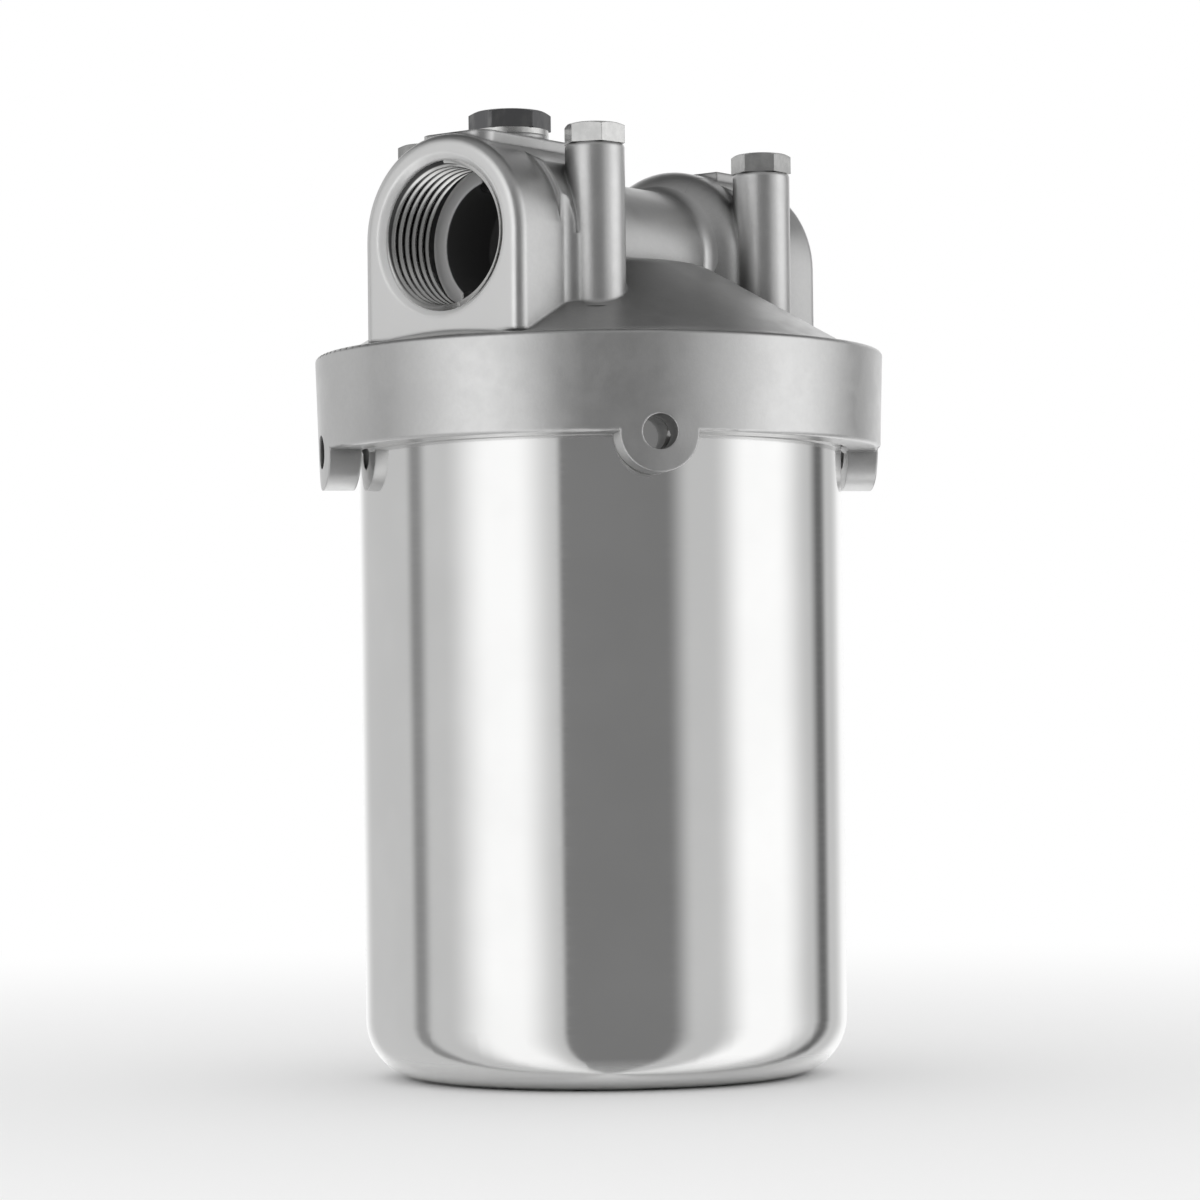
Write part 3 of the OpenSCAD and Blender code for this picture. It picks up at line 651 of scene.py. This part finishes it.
# Seat spring
# One round stainless wire with a closed turn at each end, wound cold on a mandrel. It presses
# the seat up under the cartridge.
wire_d = 0.003
open_turns = 1.8
stations_a_turn = 72
closed_rise = wire_d + 0.00005
spring_low, spring_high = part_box("seat_spring")
coil_r = spring_high.y - wire_d / 2
open_rise = spring_high.z - spring_low.z - wire_d - 2 * closed_rise
spring_steel = worked_steel(
    "spring_steel", (0.48, 0.48, 0.485), marks=900, stretch=(1, 1, 0.5), rough=(0.22, 0.38),
    depth=0.00001, dark=(0.42, 0.42, 0.425), light=(0.55, 0.55, 0.555),
)

coil = bmesh.new()
wire_end = bmesh.ops.create_circle(coil, cap_ends=True, radius=wire_d / 2, segments=20)
upright = Matrix.Rotation(math.pi / 2, 4, "X")
to_start = Matrix.Translation((coil_r, 0, spring_low.z + wire_d / 2))
bmesh.ops.transform(coil, matrix=to_start @ upright, verts=wire_end["verts"])
front = coil.faces[:]
inner_walls = []
for turns, rise in ((1, closed_rise), (open_turns, open_rise), (1, closed_rise)):
    stations = round(stations_a_turn * turns)
    spun = bmesh.ops.spin(
        coil, geom=front, cent=(0, 0, 0), axis=(0, 0, 1), dvec=(0, 0, rise / stations),
        angle=math.tau * turns, space=Matrix(), steps=stations, use_merge=False,
        use_normal_flip=False, use_duplicate=False,
    )
    front = [part for part in spun["geom_last"] if isinstance(part, bmesh.types.BMFace)]
    inner_walls += front
bmesh.ops.delete(coil, geom=inner_walls[:-1], context="FACES_ONLY")
spring = make_piece(coil, "coil_spring", spring_steel)
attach(spring, "bowl")
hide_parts("seat_spring")
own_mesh(spring)

# Spring seat
# A polypropylene cup, moulded in one piece, with a skirt that slides over the spring and a
# plug that enters the cartridge's core.
seat_plastic = new_finish("seat_plastic", (0.86, 0.86, 0.84), roughness=0.45)
flow = patches(seat_plastic, grain(seat_plastic, 60, stretch=(1, 1, 0.3)))
set_shader(seat_plastic, "Base Color", shade(seat_plastic, flow, (0.80, 0.80, 0.77), (0.88, 0.88, 0.86)))
set_shader(seat_plastic, "Roughness", ramp(seat_plastic, flow, 0.0, 1.0, 0.5, 0.36))
set_shader(seat_plastic, "Normal", bump(seat_plastic, grain(seat_plastic, 1200), 0.00001))
give_finish(seat_plastic, "spring_seat")

# Cartridge core
# A polypropylene tube, moulded with rows of holes. It stands inside the pleats, between the
# two caps, and holds them up against the water.
core_plastic = new_finish("core_plastic", (0.88, 0.88, 0.86), roughness=0.48)
moulded = patches(core_plastic, grain(core_plastic, 300))
set_shader(core_plastic, "Base Color", shade(core_plastic, moulded, (0.82, 0.82, 0.80), (0.90, 0.90, 0.88)))
set_shader(core_plastic, "Roughness", ramp(core_plastic, moulded, 0.0, 1.0, 0.52, 0.4))
give_finish(core_plastic, "cartridge_core")

# Pleated media
# One sheet of polyester fleece, folded into upright pleats and sealed into both caps. Its
# fibres lie every way and give it a soft, uneven white.
filter_media = new_finish("filter_media", (0.84, 0.87, 0.90), roughness=0.95)
fibres = compute(
    filter_media, "MAXIMUM", grain(filter_media, 700, stretch=(1, 1, 0.12)),
    grain(filter_media, 700, stretch=(0.3, 0.3, 1)),
)
clouds = product(filter_media, grain(filter_media, 90), 0.5)
thickness = ramp(filter_media, compute(filter_media, "ADD", fibres, clouds), 0.6, 1.05)
media_tone = shade(filter_media, thickness, (0.72, 0.76, 0.79), (0.88, 0.90, 0.92))
set_shader(filter_media, "Base Color", media_tone)
set_shader(filter_media, "Normal", bump(filter_media, fibres, 0.00012))
set_shader(filter_media, "Sheen Weight", 0.25)
give_finish(filter_media, "pleated_media")

# End caps
# Blue plastisol, cast in an open mould round the ends of the pleats, with a dull, slightly
# dimpled skin.
cap_plastic = new_finish("cap_plastic", (0.045, 0.13, 0.36), roughness=0.5)
dimples = grain(cap_plastic, 500)
cast_clouds = patches(cap_plastic, grain(cap_plastic, 80))
cap_tone = shade(cap_plastic, cast_clouds, (0.040, 0.115, 0.33), (0.055, 0.150, 0.40))
set_shader(cap_plastic, "Base Color", cap_tone)
set_shader(cap_plastic, "Roughness", spread(cap_plastic, dimples, 0.42, 0.6))
set_shader(cap_plastic, "Normal", bump(cap_plastic, dimples, 0.00004))
give_finish(cap_plastic, "cartridge_top_cap", "cartridge_bottom_cap")

# End gaskets
# Soft foamed rubber rings, glued to the caps. The upper one takes the nipple's edge, and the
# lower one the spring seat.
gasket_rubber = new_finish("gasket_rubber", (0.030, 0.030, 0.033), roughness=0.8)
cells = grain(gasket_rubber, 1500, detail=1.0)
gasket_tone = shade(gasket_rubber, cells, (0.018, 0.018, 0.020), (0.055, 0.055, 0.060))
set_shader(gasket_rubber, "Base Color", gasket_tone)
set_shader(gasket_rubber, "Roughness", spread(gasket_rubber, cells, 0.7, 0.9))
set_shader(gasket_rubber, "Normal", bump(gasket_rubber, cells, 0.00008))
give_finish(gasket_rubber, "top_gasket", "bottom_gasket")

# Camera
# A long lens stands at bench height on the inlet's side, 0.9 m from the housing's axis, and
# looks slightly up at it.
lens_at = Vector((-0.7186, -0.5569, 0.0761))
level_forward = Vector((0.7902, 0.6129, 0))
tilt = math.radians(2.02)
roll = 0.01205
forward = level_forward * math.cos(tilt) + Vector((0, 0, math.sin(tilt)))
level_right = level_forward.cross(Vector((0, 0, 1))).normalized()
level_up = level_right.cross(forward)
right = (level_right - roll * level_up).normalized()
up = right.cross(forward)
facing = Matrix((right, up, -forward)).transposed().to_4x4()
camera_data = bpy.data.cameras.new("camera")
camera_data.lens = 119.04
camera_data.sensor_width = 36
camera_data.clip_start = 0.01
camera = bpy.data.objects.new("camera", camera_data)
camera.matrix_world = Matrix.Translation(lens_at) @ facing
bpy.context.scene.collection.objects.link(camera)
bpy.context.scene.camera = camera

# Floor
# A pale bench top keeps the housing's shadow, and runs out into white a little way off. The
# polished bowl mirrors only the part of it round its foot, as it would a small table.
floor_r = 6.0
floor_gap = 0.0002
shadow_r = 0.16
white_r = 0.60
mirror_r = 0.045
mirror_end_r = 0.060
floor_mesh = bmesh.new()
bmesh.ops.create_circle(floor_mesh, cap_ends=True, radius=floor_r, segments=96)
bmesh.ops.translate(floor_mesh, vec=(0, 0, -floor_gap), verts=floor_mesh.verts)
pale_floor = new_finish("pale_floor", (0.88, 0.88, 0.88), roughness=0.9)
set_shader(pale_floor, "Specular IOR Level", 0.0)
floor = make_piece(floor_mesh, "floor", pale_floor)


def ray_is(finish, kind):
    """1 for a ray of one kind, and 0 for any other."""
    return add(finish, "LightPath", f"Is {kind} Ray", {})


def seen_directly(finish):
    """1 for what the lens, a mirror or a glass shows, and 0 for light on its way to a surface."""
    mirrored = compute(finish, "MAXIMUM", ray_is(finish, "Glossy"), ray_is(finish, "Transmission"))
    return compute(finish, "MAXIMUM", ray_is(finish, "Camera"), mirrored)


from_foot = off_axis(pale_floor, (0, 0, 0), (1, 1, 0))
far_off = ramp(pale_floor, from_foot, shadow_r, white_r)
whiteness = product(pale_floor, far_off, seen_directly(pale_floor))
white = add(pale_floor, "Emission", "Emission", {"Color": (1, 1, 1, 1), "Strength": 1.0})
lit = pale_floor.node_tree.nodes["Principled BSDF"].outputs[0]
bench_top = add(pale_floor, "MixShader", "Shader", {0: whiteness, 1: lit, 2: white})
past_mirror = ramp(pale_floor, from_foot, mirror_r, mirror_end_r)
unseen = product(pale_floor, ray_is(pale_floor, "Glossy"), past_mirror)
clear = add(pale_floor, "BsdfTransparent", "BSDF", {})
surface = add(pale_floor, "MixShader", "Shader", {0: unseen, 1: bench_top, 2: clear})
join(pale_floor, surface, pale_floor.node_tree.nodes["Material Output"].inputs["Surface"])

# Studio
# A white room with soft boxes and dark flags round the housing. Bare metal shows them as
# bands, the lens sees plain white, and everything else gets an even soft light.
camera_azimuth = math.atan2(lens_at.y, lens_at.x)
wall_level = 0.60
front_ceiling = 0.33
back_ceiling = 0.07
# A panel holds its first and last azimuth off the lens, the widths over which it fades in
# and out, all in degrees, and its level.
panels = {
    "left_soft_box": (-53, -41, 27, 22, 1.10),
    "right_soft_box": (73, 90, 20, 26, 1.14),
    "front_flag": (-17.5, 30, 3.5, 13, 0.21),
    "left_strip_flag": (-99, -97, 7, 8, 0.28),
    "right_strip_flag": (125, 127, 10, 9, 0.15),
    "back_soft_box": (160, 190, 20, 25, 1.05),
}
studio = bpy.data.worlds.new("studio")
studio.use_nodes = True
studio.cycles.sampling_method = "NONE"
bpy.context.scene.world = studio
sky = add(studio, "TexCoord", "Generated", {})
along_x, along_y, along_z = [coordinate(studio, letter, sky) for letter in "XYZ"]
azimuth = compute(studio, "ARCTAN2", along_y, along_x)
wall = wall_level
for start, end, rise, fall, level in panels.values():
    turned = compute(studio, "SUBTRACT", azimuth, camera_azimuth + math.radians((start + end) / 2))
    off_middle = add(studio, "Math", 0, {0: turned, 1: -math.pi, 2: math.pi}, operation="WRAP")
    half = math.radians(end - start) / 2
    risen = ramp(studio, off_middle, -half - math.radians(rise), -half)
    fallen = ramp(studio, off_middle, half + math.radians(fall), half)
    wall = blend(studio, compute(studio, "MINIMUM", risen, fallen), wall, level)
lens_along_x = product(studio, along_x, math.cos(camera_azimuth))
lens_along_y = product(studio, along_y, math.sin(camera_azimuth))
toward_lens = compute(studio, "ADD", lens_along_x, lens_along_y)
ceiling = ramp(studio, toward_lens, -0.55, 0.5, back_ceiling, front_ceiling)
overhead = ramp(studio, along_z, 0.35, 0.75)
room = blend(studio, overhead, wall, ceiling)
background = studio.node_tree.nodes["Background"].inputs
background["Color"].default_value = (1, 1, 1, 1)
join(studio, blend(studio, ray_is(studio, "Glossy"), 1.0, room), background["Strength"])

bpy.context.scene.view_settings.view_transform = "Standard"
